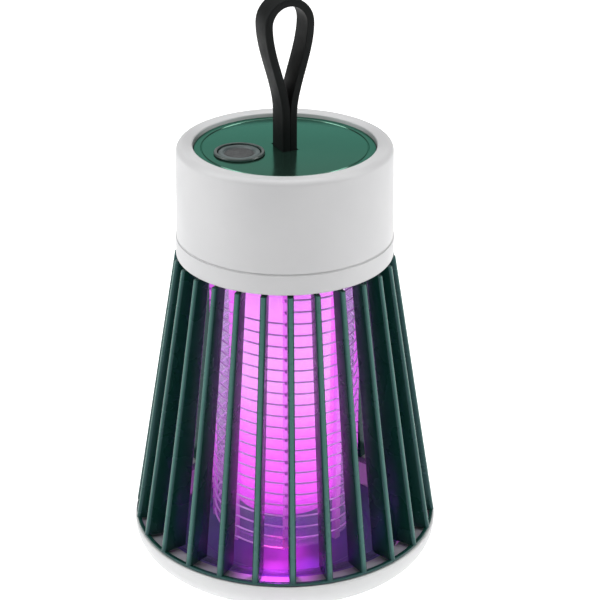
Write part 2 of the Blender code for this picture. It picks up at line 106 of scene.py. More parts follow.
# ---------------------------------------------------------------- materials
class Look:
    """A Principled material with its node tree, and short calls for what most surfaces need."""

    def __init__(self, name, color, roughness, **sockets):
        self.material = bpy.data.materials.new(name)
        self.material.use_nodes = True
        self.tree = self.material.node_tree
        self.shader = self.tree.nodes["Principled BSDF"]
        self.color = color
        self.set("Base Color", (*color, 1))
        self.set("Roughness", roughness)
        for socket, value in sockets.items():
            self.set(socket.replace("_", " "), value)
        self.where = self.node("TexCoord").outputs["Object"]

    def set(self, socket, value):
        self.shader.inputs[socket].default_value = value

    def node(self, kind, **values):
        made = self.tree.nodes.new("ShaderNode" + kind)
        for name, value in values.items():
            name = name.replace("_", " ")
            if name in made.inputs:
                made.inputs[name].default_value = value
            else:
                setattr(made, name.replace(" ", "_"), value)
        return made

    def link(self, source, target):
        self.tree.links.new(source, target)

    def noise(self, scale, detail=3.0, stretch=(1, 1, 1)):
        """Noise between 0 and 1; scale is in features per metre."""
        mapping = self.node("Mapping", Scale=stretch)
        self.link(self.where, mapping.inputs["Vector"])
        noise = self.node("TexNoise", Scale=scale, Detail=detail)
        self.link(mapping.outputs["Vector"], noise.inputs["Vector"])
        return noise.outputs["Fac"]

    def remap(self, source, low, high, start=0.3, end=0.7):
        remap = self.node("MapRange")
        for socket, value in (("From Min", start), ("From Max", end), ("To Min", low), ("To Max", high)):
            remap.inputs[socket].default_value = value
        self.link(source, remap.inputs["Value"])
        return remap.outputs["Result"]

    def blend(self, factor, first, second):
        mix = self.node("Mix", data_type="RGBA")
        slots = [s for s in mix.inputs if s.type == "RGBA"]
        for slot, value in zip(slots, (first, second)):
            if isinstance(value, tuple):
                slot.default_value = (*value, 1)
            else:
                self.link(value, slot)
        self.link(factor, mix.inputs["Factor"])
        return [s for s in mix.outputs if s.type == "RGBA"][0]

    def mottle(self, scale, other):
        """Slow drift of the colour towards another one."""
        mixed = self.blend(self.remap(self.noise(scale), 0, 1), self.color, other)
        self.link(mixed, self.shader.inputs["Base Color"])
        return self

    def worn(self, scale, low, high, stretch=(1, 1, 1)):
        """Roughness that varies between low and high."""
        self.link(self.remap(self.noise(scale, 4.0, stretch), low, high), self.shader.inputs["Roughness"])
        return self

    def grain(self, scale, depth, stretch=(1, 1, 1), detail=3.0):
        """Surface relief; depth in metres."""
        bump = self.node("Bump", Strength=1.0, Distance=depth)
        self.link(self.noise(scale, detail, stretch), bump.inputs["Height"])
        self.link(bump.outputs["Normal"], self.shader.inputs["Normal"])
        return self

    def height(self, low, high):
        """0 at z = low, 1 at z = high."""
        split = self.node("SeparateXYZ")
        self.link(self.where, split.inputs["Vector"])
        return self.remap(split.outputs["Z"], 0, 1, low, high)

    def ramp(self, source, stops, strength=1.0):
        """Colour that runs through the stops, each (place between 0 and 1, colour)."""
        ramp = self.node("ValToRGB")
        ramp.color_ramp.interpolation = "EASE"
        while len(ramp.color_ramp.elements) < len(stops):
            ramp.color_ramp.elements.new(1.0)
        for element, (place, color) in zip(ramp.color_ramp.elements, stops):
            element.position = place
            element.color = (*(c * strength for c in color), 1)
        self.link(source, ramp.inputs["Fac"])
        return ramp.outputs["Color"]


def make_looks():
    looks = {}
    looks["white"] = Look("moulded_white", (0.535, 0.535, 0.540), 0.38)
    looks["white"].mottle(35, (0.500, 0.501, 0.508)).worn(60, 0.33, 0.46).grain(2600, 0.006 * MM)
    looks["dish"] = make_dish_look()
    looks["cage"] = Look("cage_dark_green", (0.0035, 0.0320, 0.0230), 0.27, Specular_IOR_Level=0.42)
    looks["cage"].set("Specular Tint", (0.55, 0.85, 1.0, 1))
    looks["cage"].worn(70, 0.20, 0.36).grain(1900, 0.010 * MM)
    # Painted highlight: the 'edge' attribute lightens the crown of each rib's outer edge to a paler green,
    # standing in for the light it catches.
    edge = looks["cage"].node("Attribute", attribute_name="edge").outputs["Fac"]
    tone = looks["cage"].blend(looks["cage"].remap(looks["cage"].noise(45), 0, 1), looks["cage"].color,
                               (0.0055, 0.0390, 0.0290))
    looks["cage"].link(looks["cage"].blend(edge, tone, (0.046, 0.128, 0.104)),
                       looks["cage"].shader.inputs["Base Color"])
    looks["plate"] = Look("plate_gloss_green", (0.092, 0.190, 0.146), 0.15, Metallic=0.92)
    looks["plate"].set("Specular Tint", (0.40, 0.75, 0.65, 1))
    looks["plate"].mottle(28, (0.101, 0.204, 0.158)).worn(55, 0.12, 0.20).grain(320, 0.002 * MM)
    looks["bezel"] = Look("bezel_grey", (0.036, 0.054, 0.050), 0.34)
    looks["bezel"].mottle(300, (0.046, 0.066, 0.062)).worn(200, 0.24, 0.38).grain(3000, 0.006 * MM)
    looks["button"] = make_button_look()
    looks["silicone"] = Look("strap_silicone", (0.0040, 0.0048, 0.0048), 0.60, Specular_IOR_Level=0.12)
    looks["silicone"].mottle(90, (0.0075, 0.0085, 0.0085)).worn(140, 0.50, 0.66).grain(2400, 0.014 * MM)
    looks["rubber"] = Look("matt_rubber", (0.014, 0.014, 0.015), 0.70)
    looks["rubber"].mottle(120, (0.024, 0.024, 0.025)).worn(150, 0.62, 0.82).grain(2200, 0.020 * MM)
    looks["tray"] = Look("tray_violet_grey", (0.044, 0.036, 0.150), 0.34, Specular_IOR_Level=0.8)
    looks["tray"].mottle(60, (0.034, 0.028, 0.118)).worn(90, 0.28, 0.42).grain(1500, 0.006 * MM)
    looks["wire"] = Look("drawn_steel_wire", (0.48, 0.34, 0.56), 0.34, Metallic=0.8)
    looks["wire"].mottle(400, (0.40, 0.28, 0.48)).worn(300, 0.28, 0.42).grain(5000, 0.003 * MM, (1, 1, 6))
    # Painted glow: the steel wires emit violet light, standing in for the lamp's light scattered onto them.
    looks["wire"].set("Emission Color", (0.60, 0.16, 0.80, 1))
    looks["wire"].set("Emission Strength", 0.22)
    looks["metal"] = Look("plated_steel", (0.66, 0.66, 0.64), 0.28, Metallic=1.0)
    looks["metal"].mottle(180, (0.55, 0.55, 0.54)).worn(220, 0.22, 0.42).grain(2600, 0.005 * MM)
    looks["board"] = Look("solder_mask", (0.010, 0.110, 0.045), 0.40)
    looks["board"].mottle(150, (0.016, 0.150, 0.060)).worn(160, 0.32, 0.50).grain(900, 0.020 * MM)
    looks["cell"] = Look("shrink_wrap", (0.030, 0.120, 0.420), 0.30)
    looks["cell"].mottle(60, (0.024, 0.100, 0.360)).worn(90, 0.24, 0.40).grain(240, 0.030 * MM)
    looks["ferrite"] = Look("ferrite_core", (0.060, 0.055, 0.050), 0.60)
    looks["ferrite"].mottle(240, (0.085, 0.078, 0.070)).worn(150, 0.52, 0.72).grain(1400, 0.030 * MM)
    looks["film"] = Look("dipped_capacitor", (0.420, 0.060, 0.030), 0.28)
    looks["film"].mottle(110, (0.350, 0.048, 0.024)).worn(120, 0.22, 0.40).grain(500, 0.020 * MM)
    looks["black"] = Look("moulded_black", (0.018, 0.018, 0.020), 0.45)
    looks["black"].mottle(90, (0.028, 0.028, 0.030)).worn(120, 0.38, 0.56).grain(2200, 0.012 * MM)
    looks["core"] = Look("led_core_aluminium", (0.60, 0.60, 0.62), 0.35, Metallic=1.0)
    looks["core"].mottle(120, (0.50, 0.50, 0.53)).worn(200, 0.28, 0.46).grain(2000, 0.005 * MM, (1, 1, 0.1))
    make_glowing(looks)
    return looks


def make_dish_look():
    """White plastic, with painted shade: the ledge round the mouth is painted a darker grey where the ribs
    shade it.
    """
    look = Look("moulded_white_dish", (0.610, 0.616, 0.616), 0.36)
    unshaded_white = look.blend(look.remap(look.noise(40), 0, 1), look.color, (0.575, 0.582, 0.584))
    flat = look.node("Mapping", Scale=(1, 1, 0))
    look.link(look.where, flat.inputs["Vector"])
    away = look.node("VectorMath", operation="LENGTH")
    look.link(flat.outputs["Vector"], away.inputs[0])
    # Painted shade: this mask picks a band of the ledge, which is painted darker grey in place of the shadow
    # the ribs cast there.
    ledge = look.node("Math", operation="MULTIPLY")
    look.link(look.remap(away.outputs["Value"], 1, 0, 50.8 * MM, 52.4 * MM), ledge.inputs[0])
    look.link(look.height(DISH_TOP - 2.2 * MM, DISH_TOP - 1.0 * MM), ledge.inputs[1])
    painted_shade = look.blend(look.remap(look.noise(120), 0, 1), (0.300, 0.325, 0.320), (0.250, 0.275, 0.270))
    look.link(look.blend(ledge.outputs["Value"], unshaded_white, painted_shade), look.shader.inputs["Base Color"])
    return look.worn(60, 0.30, 0.44).grain(2600, 0.006 * MM)


def make_button_look():
    """A smooth lighter rim round a darker pad with a fine woven texture."""
    look = Look("button_grey", (0.030, 0.032, 0.033), 0.42)
    away = look.node("VectorMath", operation="DISTANCE")
    flat = look.node("Mapping", Scale=(1, 1, 0))
    look.link(look.where, flat.inputs["Vector"])
    look.link(flat.outputs["Vector"], away.inputs[0])
    away.inputs[1].default_value = (BUTTON_AT.x, BUTTON_AT.y, 0)
    rim = look.remap(away.outputs["Value"], 0, 1, 4.7 * MM, 5.3 * MM)
    pad = look.blend(look.remap(look.noise(900), 0, 1), look.color, (0.052, 0.055, 0.056))
    edge = look.blend(look.remap(look.noise(260), 0, 1), (0.066, 0.090, 0.090), (0.086, 0.112, 0.112))
    look.link(look.blend(rim, pad, edge), look.shader.inputs["Base Color"])
    weave = look.node("TexVoronoi", Scale=2300.0)
    look.link(look.where, weave.inputs["Vector"])
    height = look.node("Math", operation="MULTIPLY")
    look.link(weave.outputs["Distance"], height.inputs[0])
    look.link(look.remap(away.outputs["Value"], 1, 0, 4.4 * MM, 4.8 * MM), height.inputs[1])
    bump = look.node("Bump", Strength=1.0, Distance=0.10 * MM)
    look.link(height.outputs["Value"], bump.inputs["Height"])
    look.link(bump.outputs["Normal"], look.shader.inputs["Normal"])
    return look.worn(220, 0.34, 0.50)


def make_glowing(looks):
    """The lamp's diffuser and tube, whose colour of light drifts slowly as it does behind a moulded diffuser;
    and the sleeve, posts and clips, which glow with painted light standing in for the lamp's scattered light.
    """
    diffuser = Look("lamp_diffuser_lit", (0.60, 0.25, 0.62), 0.5)
    cloud = diffuser.remap(diffuser.noise(38, 2.0, (1, 1, 0.35)), 0, 1, 0.35, 0.65)
    stops = [(0.00, (0.80, 0.06, 0.86)), (0.20, (0.84, 0.12, 0.90)), (0.60, (0.94, 0.77, 0.97)),
             (0.80, (0.80, 0.62, 0.86)), (1.00, (0.46, 0.34, 0.57))]
    up = diffuser.height(DIFFUSER_LOW, DIFFUSER_TOP)
    lit = diffuser.blend(cloud, diffuser.ramp(up, stops, 0.92), diffuser.ramp(up, stops, 1.0))
    diffuser.link(lit, diffuser.shader.inputs["Emission Color"])
    diffuser.set("Emission Strength", 1.24)
    diffuser.mottle(120, (0.50, 0.20, 0.56)).grain(1200, 0.010 * MM)
    looks["diffuser"] = diffuser

    tube = Look("lamp_tube_frosted", (0.55, 0.16, 0.58), 0.42, Alpha=0.37)
    cloud = tube.remap(tube.noise(30, 2.0, (1, 1, 0.3)), 0, 1, 0.35, 0.65)
    lit = tube.blend(cloud, (0.88, 0.035, 0.90), (0.96, 0.055, 0.97))
    tube.link(lit, tube.shader.inputs["Emission Color"])
    tube.set("Emission Strength", 0.91)
    tube.mottle(90, (0.48, 0.12, 0.55)).grain(1800, 0.010 * MM)
    looks["tube"] = tube

    sleeve = Look("grid_sleeve_milky", (0.46, 0.33, 0.56), 0.22, Alpha=0.20)
    # Painted glow: the sleeve emits violet light that grows brighter with height, standing in for the lamp's
    # light scattered in it.
    painted_sleeve_glow = sleeve.blend(sleeve.height(18 * MM, 70 * MM), (0.046, 0.034, 0.070), (0.235, 0.150, 0.310))
    sleeve.link(painted_sleeve_glow, sleeve.shader.inputs["Emission Color"])
    sleeve.set("Emission Strength", 1.0)
    sleeve.mottle(50, (0.54, 0.42, 0.66)).grain(700, 0.010 * MM)
    looks["sleeve"] = sleeve

    post = Look("grid_post_clear", (0.50, 0.18, 0.56), 0.26, Alpha=0.62)
    # Painted glow: the posts emit magenta light that grows brighter with height, standing in for the lamp's
    # light caught in them.
    painted_post_glow = post.blend(post.height(14 * MM, 40 * MM), (0.060, 0.018, 0.090), (0.560, 0.080, 0.600))
    post.link(painted_post_glow, post.shader.inputs["Emission Color"])
    post.set("Emission Strength", 1.0)
    post.mottle(160, (0.42, 0.24, 0.52)).grain(1500, 0.010 * MM)
    looks["post"] = post

    clip = Look("wire_clip_violet", (0.20, 0.05, 0.26), 0.35)
    # Painted glow: the clips emit faint violet light, standing in for the lamp's light falling on them.
    clip.set("Emission Color", (0.14, 0.015, 0.20, 1))
    clip.set("Emission Strength", 1.0)
    clip.mottle(500, (0.15, 0.035, 0.20)).worn(400, 0.28, 0.44).grain(3000, 0.008 * MM)
    looks["clip"] = clip

    seal = Look("seal_clear_silicone", (0.12, 0.12, 0.20), 0.32, Alpha=0.35)
    seal.mottle(120, (0.09, 0.09, 0.16)).worn(160, 0.26, 0.40).grain(1800, 0.010 * MM)
    looks["seal"] = seal


LOOKS = make_looks()


# ---------------------------------------------------------------- mesh helpers
def finish_piece(name, mesh, look, body, replaced=(), sharp=40):
    """Object from a mesh, smooth, with its material, riding on its body and replacing CAD nodes."""
    mesh.materials.append(LOOKS[look].material)
    mesh.shade_smooth()
    mesh.set_sharp_from_angle(angle=math.radians(sharp))
    piece = bpy.data.objects.new(name, mesh)
    bpy.context.scene.collection.objects.link(piece)
    if body:
        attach(piece, body)
    if replaced:
        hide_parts(*replaced)
    return piece


def rounded(points, radius, steps=5, closed=True):
    """Outline with every corner rounded by radius, or less where its sides are short.
    radius may be a number or one number for each point."""
    count = len(points)
    made = []
    for i, (x, z) in enumerate(points):
        here = Vector((x, z))
        r = radius[i] if isinstance(radius, (list, tuple)) else radius
        if not closed and i in (0, count - 1) or r <= 0:
            made.append((x, z))
            continue
        before, after = Vector(points[i - 1]) - here, Vector(points[(i + 1) % count]) - here
        reach = min(before.length, after.length) * 0.48
        half = before.angle(after) / 2
        if math.pi - 2 * half < 0.05:
            made.append((x, z))
            continue
        back = min(r / math.tan(half), reach)
        r = back * math.tan(half)
        start, end = here + before.normalized() * back, here + after.normalized() * back
        centre = here + (before.normalized() + after.normalized()).normalized() * (r / math.sin(half))
        first, last = start - centre, end - centre
        sweep = first.angle_signed(last)
        for k in range(steps + 1):
            turn = -sweep * k / steps
            made.append((centre.x + first.x * math.cos(turn) - first.y * math.sin(turn),
                         centre.y + first.x * math.sin(turn) + first.y * math.cos(turn)))
    return made


def lathe_mesh(name, profile, segments=144, at=(0, 0)):
    """Revolved (radius, z) outline. It is closed into a ring unless it starts and ends on the axis."""
    shape = bmesh.new()
    on_axis = 1e-9
    turns = [TURN * k / segments for k in range(segments)]
    x, y = at
    rows = []
    for r, z in profile:
        round_it = turns if r >= on_axis else [0]
        rows.append([shape.verts.new((x + r * math.cos(a), y + r * math.sin(a), z)) for a in round_it])
    solid = profile[0][0] < on_axis and profile[-1][0] < on_axis
    pairs = list(zip(rows, rows[1:])) + ([] if solid else [(rows[-1], rows[0])])
    for a, b in pairs:
        for k in range(segments):
            n = (k + 1) % segments
            corners = [a[k % len(a)], a[n % len(a)], b[n % len(b)], b[k % len(b)]]
            unique = list(dict.fromkeys(corners))
            if len(unique) > 2:
                shape.faces.new(unique)
    bmesh.ops.recalc_face_normals(shape, faces=shape.faces)
    mesh = bpy.data.meshes.new(name)
    shape.to_mesh(mesh)
    shape.free()
    return mesh


def lathe(name, profile, look, body, replaced=(), segments=144, at=(0, 0), sharp=40):
    return finish_piece(name, lathe_mesh(name, profile, segments, at), look, body, replaced, sharp)


def cut(mesh, *tools):
    """The mesh with other meshes cut out of it."""
    target = bpy.data.objects.new("cut_target", mesh)
    bpy.context.scene.collection.objects.link(target)
    helpers = []
    for tool in tools:
        helper = bpy.data.objects.new("cut_tool", tool)
        bpy.context.scene.collection.objects.link(helper)
        helpers.append(helper)
        step = target.modifiers.new("cut", "BOOLEAN")
        step.operation = "DIFFERENCE"
        step.object = helper
    depsgraph = bpy.context.evaluated_depsgraph_get()
    made = bpy.data.meshes.new_from_object(target.evaluated_get(depsgraph))
    made.name = mesh.name
    for helper in (target, *helpers):
        bpy.data.objects.remove(helper)
    return made


def box_mesh(name, low, high, rounding=0.0):
    shape = bmesh.new()
    size, centre = Vector(high) - Vector(low), (Vector(high) + Vector(low)) / 2
    bmesh.ops.create_cube(shape, size=1, matrix=Matrix.Translation(centre) @ Matrix.Diagonal((*size, 1)))
    if rounding:
        bmesh.ops.bevel(shape, geom=shape.edges[:], offset=rounding, segments=3, affect="EDGES", profile=0.5)
    mesh = bpy.data.meshes.new(name)
    shape.to_mesh(mesh)
    shape.free()
    return mesh


def sweep_mesh(name, rings, close_path=False):
    """Skin over a list of rings of points, with flat ends unless the path is closed."""
    shape = bmesh.new()
    rows = [[shape.verts.new(p) for p in ring] for ring in rings]
    pairs = list(zip(rows, rows[1:])) + ([(rows[-1], rows[0])] if close_path else [])
    count = len(rows[0])
    for a, b in pairs:
        for k in range(count):
            n = (k + 1) % count
            shape.faces.new((a[k], a[n], b[n], b[k]))
    if not close_path:
        shape.faces.new(rows[0])
        shape.faces.new(reversed(rows[-1]))
    bmesh.ops.recalc_face_normals(shape, faces=shape.faces)
    mesh = bpy.data.meshes.new(name)
    shape.to_mesh(mesh)
    shape.free()
    return mesh


def join_meshes(name, meshes):
    shape = bmesh.new()
    for mesh in meshes:
        shape.from_mesh(mesh)
        bpy.data.meshes.remove(mesh)
    made = bpy.data.meshes.new(name)
    shape.to_mesh(made)
    shape.free()
    return made


def smooth_step(value):
    value = min(max(value, 0), 1)
    return value * value * (3 - 2 * value)


# ---------------------------------------------------------------- dish
def make_dish():
    shoulder = DISH_TOP - 1.5 * MM
    foot_r = 44.0 * MM                  # where the curve of the underside ends
    depth = shoulder - DISH_LOW
    arc = [TURN / 4 * k / 14 for k in range(1, 15)]
    outer = [(foot_r + (DISH_R - foot_r) * math.cos(a), shoulder - depth * math.sin(a)) for a in arc]
    inner = [(r - WALL, z + 0.4 * MM) for r, z in reversed(outer[1:-1])]
    mouth, foot = 46.2 * MM, 41.6 * MM
    ledge_r, ledge_z = 38.5 * MM, TRAY_LOW - GAP
    ledge_under = ledge_z - 1.2 * MM
    head = rounded([(mouth, DISH_TOP - 3 * MM), (mouth, DISH_TOP), (DISH_R, DISH_TOP), (DISH_R, shoulder)],
                   0.7 * MM, 5, closed=False)[1:]
    tail = rounded([(DISH_R - WALL, shoulder - MM), (DISH_R - WALL, DISH_TOP - WALL),
                    (mouth + MM, DISH_TOP - WALL), (foot + 1.2 * MM, ledge_z), (foot, ledge_under),
                    (ledge_r, ledge_under), (ledge_r, ledge_z), (foot - 0.2 * MM, ledge_z),
                    (foot, ledge_z + 2 * MM)], 0.5 * MM, 3, closed=False)
    profile = head + outer + [(outer[-1][0] - WALL, DISH_LOW)] + inner + tail[1:]
    lathe("dish_shell", profile, "dish", "dish", ["base_dish"], 180)

    edge = TRAY_R - 0.1 * MM
    floor_r, rim_r, floor_z = 30 * MM, 30.8 * MM, TRAY_TOP - 0.5 * MM
    tray = rounded([(0, floor_z), (floor_r, floor_z), (rim_r, TRAY_TOP), (edge, TRAY_TOP), (edge, TRAY_LOW),
                    (0, TRAY_LOW)], 0.35 * MM, 4, closed=False)
    lathe("collecting_tray", tray, "tray", "dish", ["insect_tray"], 160)

    inner = SEAL_R - 2.0 * MM
    seal = [(inner, SEAL_TOP), (SEAL_R, SEAL_TOP), (SEAL_R, SEAL_LOW), (inner, SEAL_LOW)]
    lathe("seal_ring", rounded(seal, 0.4 * MM), "seal", "seal", ["base_seal"], 160)

    recess = 0.35 * MM
    for node in [n for n in sorted(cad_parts) if n.startswith("rubber_foot")]:
        r, low, high = span(node)
        at = middle(node)
        profile = rounded([(0, high), (r, high), (r, low), (r * 0.62, low), (r * 0.56, low + recess),
                           (0, low + recess)], 0.4 * MM, 5, closed=False)
        lathe(node.replace("rubber_", "") + "_pad", profile, "rubber", "dish", [node], 48,
              (at.x, at.y))


# ---------------------------------------------------------------- cage
def rib_rings(angle):
    """Sections of one rib from its foot to its top: a flat blade with a full round on its outer edge."""
    levels, heel, narrowing = 26, 0.5 * MM, 0.10
    rows = []
    for i in range(levels + 1):
        t = i / levels
        z = RIB_LOW + (RIB_TOP - RIB_LOW) * t
        outer = RIB_OUTER[0] + (RIB_OUTER[1] - RIB_OUTER[0]) * t
        inner = RIB_INNER[0] + (RIB_INNER[1] - RIB_INNER[0]) * t
        thick = RIB_THICKNESS / 2 * (1 - narrowing * t)
        nose = [(outer - thick + thick * math.cos(a), thick * math.sin(a))
                for a in [math.radians(-90 + 180 * k / 14) for k in range(15)]]
        tail = [(inner + heel - heel * math.cos(a), thick - heel + heel * math.sin(a))
                for a in [math.radians(90 - 30 * k) for k in range(4)]]
        tail += [(r, -w) for r, w in reversed(tail)]
        rows.append([(r * math.cos(angle) - w * math.sin(angle), r * math.sin(angle) + w * math.cos(angle), z)
                     for r, w in nose + tail])
    return rows


def make_cage():
    blades = [sweep_mesh("rib", rib_rings(math.pi + TURN * k / len(RIBS))) for k in range(len(RIBS))]
    inner, outer, low = 28.5 * MM, TOP_RING_R + 0.4 * MM, TOP_RING_LOW + 1.3 * MM
    ring = [(inner, TOP_RING_TOP), (outer, TOP_RING_TOP), (outer, low), (inner, low)]
    top = lathe_mesh("top", rounded(ring, 0.4 * MM, 4))
    inner, high = CAGE_RING_R - 1.3 * MM, CAGE_RING_TOP + 0.5 * MM
    ring = [(inner, high), (CAGE_RING_R, high), (CAGE_RING_R, CAGE_RING_LOW), (inner, CAGE_RING_LOW)]
    foot = lathe_mesh("foot", rounded(ring, 0.2 * MM, 3), 160)
    mesh = join_meshes("cage_moulding", blades + [top, foot])
    mark_rib_highlight(mesh)
    finish_piece("cage_moulding", mesh, "cage", "housing",
                 RIBS + ["cage_top_ring", "cage_bottom_ring"])


def mark_rib_highlight(mesh):
    """Attribute that is 1 along the crown of each rib's outer edge, where the cage material paints a
    highlight in lighter green.
    """
    attribute = mesh.attributes.new("edge", "FLOAT", "POINT")
    start, width, foot = 0.40 * MM, 0.35 * MM, 0.6 * MM
    values = []
    for vertex in mesh.vertices:
        x, y, z = vertex.co
        t = (z - RIB_LOW) / (RIB_TOP - RIB_LOW)
        outer = RIB_OUTER[0] + (RIB_OUTER[1] - RIB_OUTER[0]) * t
        crown = smooth_step((math.hypot(x, y) - (outer - start)) / width)
        values.append(crown if z > RIB_LOW + foot else 0.0)
    attribute.data.foreach_set("value", values)


# ---------------------------------------------------------------- housing
def make_housing():
    """Collar, housing with its charging opening, and top plate with its groove, hole and slot."""
    tongue, tongue_top = COLLAR_R - 0.32 * MM, HOUSING_LOW - 0.05 * MM
    collar = rounded([(COLLAR_R - WALL, tongue_top), (tongue, tongue_top), (tongue, COLLAR_TOP),
                      (COLLAR_R, COLLAR_TOP), (COLLAR_R, COLLAR_LOW), (COLLAR_R - WALL, COLLAR_LOW)],
                     [0.1 * MM, 0.05 * MM, 0.05 * MM, 0.3 * MM, 1.5 * MM, 0.3 * MM], 7)
    lathe("housing_collar", collar, "white", "housing", ["lower_collar"], 192)

    top_r = 36.0 * MM
    mouth, inside = PLATE_R + GAP, PLATE_R + GAP - WALL
    ledge = PLATE_LOW - GAP
    shape = [(mouth, HOUSING_TOP - 0.55 * MM), (top_r, HOUSING_TOP), (HOUSING_R, HOUSING_LOW),
             (HOUSING_R - WALL, HOUSING_LOW), (top_r - WALL, ledge - WALL), (inside, ledge - WALL),
             (inside, ledge), (mouth, ledge)]
    fillets = [0.5 * MM, 2.3 * MM, 0.35 * MM, 0.2 * MM, 0.6 * MM, 0.3 * MM, 0.1 * MM, 0.1 * MM]
    port = middle("usb_cover")
    low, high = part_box("usb_cover")
    reach = 6 * MM
    opening = box_mesh("opening", (low.x - GAP, port.y - reach, low.z - GAP),
                       (high.x + GAP, port.y + reach, high.z + GAP))
    shell = cut(lathe_mesh("housing_shell", rounded(shape, fillets, 9), 192), opening)
    finish_piece("housing_shell", shell, "white", "housing", ["top_housing"], sharp=32)

    groove, half, depth = 27.7 * MM, 0.28 * MM, 0.35 * MM
    outline = [(0, PLATE_TOP), (groove - half, PLATE_TOP), (groove - half * 0.5, PLATE_TOP - depth),
               (groove + half * 0.5, PLATE_TOP - depth), (groove + half, PLATE_TOP), (PLATE_R, PLATE_TOP),
               (PLATE_R, PLATE_LOW), (0, PLATE_LOW)]
    fillets = [0, 0.15 * MM, 0.1 * MM, 0.1 * MM, 0.15 * MM, 0.3 * MM, 0.2 * MM, 0]
    profile = rounded(outline, fillets, 3, closed=False)
    hole_r, over, under = BUTTON_R + GAP, PLATE_TOP + MM, PLATE_LOW - MM
    hole = lathe_mesh("hole", [(0, over), (hole_r, over), (hole_r, under), (0, under)], 64,
                      (BUTTON_AT.x, BUTTON_AT.y))
    slot_x, slot_y = 2 * STRAP_HALF + GAP, STRAP_HALF_WIDTH + GAP
    slot = box_mesh("slot", (-slot_x, -slot_y, under), (slot_x, slot_y, over))
    plate = cut(lathe_mesh("gloss_plate", profile, 192), hole, slot)
    finish_piece("gloss_plate", plate, "plate", "housing", ["top_plate"], sharp=30)


# ---------------------------------------------------------------- button
def make_button():
    at = (BUTTON_AT.x, BUTTON_AT.y)
    inner = BUTTON_R + GAP
    bezel = rounded([(inner, BEZEL_TOP), (BEZEL_R - 0.25 * MM, BEZEL_TOP), (BEZEL_R, BEZEL_LOW),
                     (inner, BEZEL_LOW)], [0.15 * MM, 0.3 * MM, 0.05 * MM, 0.05 * MM])
    lathe("bezel_ring", bezel, "bezel", "housing", ["button_bezel"], 96, at)

    top = BUTTON_TOP
    under, stem_r = top - 3.2 * MM, 2.2 * MM
    profile = [(0, top - 0.42 * MM), (2.6 * MM, top - 0.40 * MM), (4.3 * MM, top - 0.34 * MM),
               (4.75 * MM, top - 0.55 * MM), (5.1 * MM, top - 0.55 * MM), (5.5 * MM, top - 0.05 * MM),
               (6.3 * MM, top), (BUTTON_R, top - 0.1 * MM), (BUTTON_R, under), (stem_r, under),
               (stem_r, BUTTON_LOW), (0, BUTTON_LOW)]
    fillets = [0, 0, 0.3 * MM, 0.12 * MM, 0.12 * MM, 0.3 * MM, 0.3 * MM, 0.4 * MM, 0.3 * MM, 0.2 * MM,
               0.2 * MM, 0]
    profile = rounded(profile, fillets, 4, closed=False)
    lathe("button_cap", profile, "button", "button", ["power_button"], 96, at)


# ---------------------------------------------------------------- strap
def strap_path():
    """Middle line of the right half of the strap, (x, z), from under the plate up to the apex."""
    half = STRAP_HALF
    low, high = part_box("strap")
    pivot = low.z + 2 * half
    split, shoulder, spread = pivot + STRAP_SPLIT, pivot + STRAP_SHOULDER, (high.x - low.x) / 2 - half
    apex = high.z - half
    foot_z = PLATE_LOW - GAP - half
    path = [(5.4 * MM, foot_z), (4.2 * MM, foot_z), (3.2 * MM, foot_z)]
    bend = 1.6 * MM
    middle_x = half + 0.02 * MM
    for k in range(1, 7):
        a = TURN / 4 * k / 6
        path.append((middle_x + bend - bend * math.sin(a), foot_z + bend - bend * math.cos(a)))
    for k in range(1, 9):
        path.append((middle_x, foot_z + bend + (split - foot_z - bend) * k / 9))
    for k in range(0, 29):
        t = k / 28
        path.append((middle_x + (spread - middle_x) * smooth_step(t), split + (shoulder - split) * t))
    for k in range(1, 15):
        a = TURN / 4 * k / 14
        path.append((spread * math.cos(a), shoulder + (apex - shoulder) * math.sin(a)))
    return path


def make_strap():
    right = strap_path()
    path = right + [(-x, z) for x, z in reversed(right[:-1])]
    half_t, half_w, outside, inside = STRAP_HALF, STRAP_HALF_WIDTH, 0.7 * MM, 0.18 * MM
    corners = [(half_w, half_t), (-half_w, half_t), (-half_w, -half_t), (half_w, -half_t)]
    section = rounded(corners, [outside, outside, inside, inside], 5)
    rings = []
    for i, (x, z) in enumerate(path):
        before, after = Vector(path[max(i - 1, 0)]), Vector(path[min(i + 1, len(path) - 1)])
        along = (after - before).normalized()
        across = Vector((along.y, -along.x))
        rings.append([(x + across.x * t, w, z + across.y * t) for w, t in section])
    strap = finish_piece("strap_band", sweep_mesh("strap_band", rings), "silicone", None,
                         ["strap", "strap_root"], sharp=60)
    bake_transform(strap)


# ---------------------------------------------------------------- lamp and grid
def make_lamp():
    wall, fillet = 1.5 * MM, 4.0 * MM
    tube = rounded([(0, LAMP_LOW + wall), (LAMP_R - wall, LAMP_LOW + wall), (LAMP_R - wall, LAMP_TOP),
                    (LAMP_R, LAMP_TOP), (LAMP_R, LAMP_LOW), (0, LAMP_LOW)],
                   [0, fillet - wall, 0.2 * MM, 0.2 * MM, fillet, 0], 8, closed=False)
    lathe("frosted_tube", tube, "tube", "housing", ["lamp_tube"], 144)
    skin = 1.2 * MM
    inner = rounded([(0, DIFFUSER_LOW + skin), (DIFFUSER_R - skin, DIFFUSER_LOW + skin),
                     (DIFFUSER_R - skin, DIFFUSER_TOP), (DIFFUSER_R, DIFFUSER_TOP),
                     (DIFFUSER_R, DIFFUSER_LOW), (0, DIFFUSER_LOW)],
                    [0, MM, 0.2 * MM, 0.2 * MM, 2.5 * MM, 0], 7, closed=False)
    lathe("inner_diffuser", inner, "diffuser", "housing", ["lamp_diffuser"], 128)
    r, low, high = span("lamp_cap")
    cap = rounded([(0, high), (r, high), (r, low), (0, low)], 0.6 * MM, 5, closed=False)
    lathe("lamp_holder", cap, "black", "housing", ["lamp_cap"], 128)


def wire_height(angle, wire):
    """Height of a wire at an angle from the winding's start, with whole turns counted in the angle."""
    return WINDING_TOP - WINDING_STEP * (2 * angle / TURN + wire)


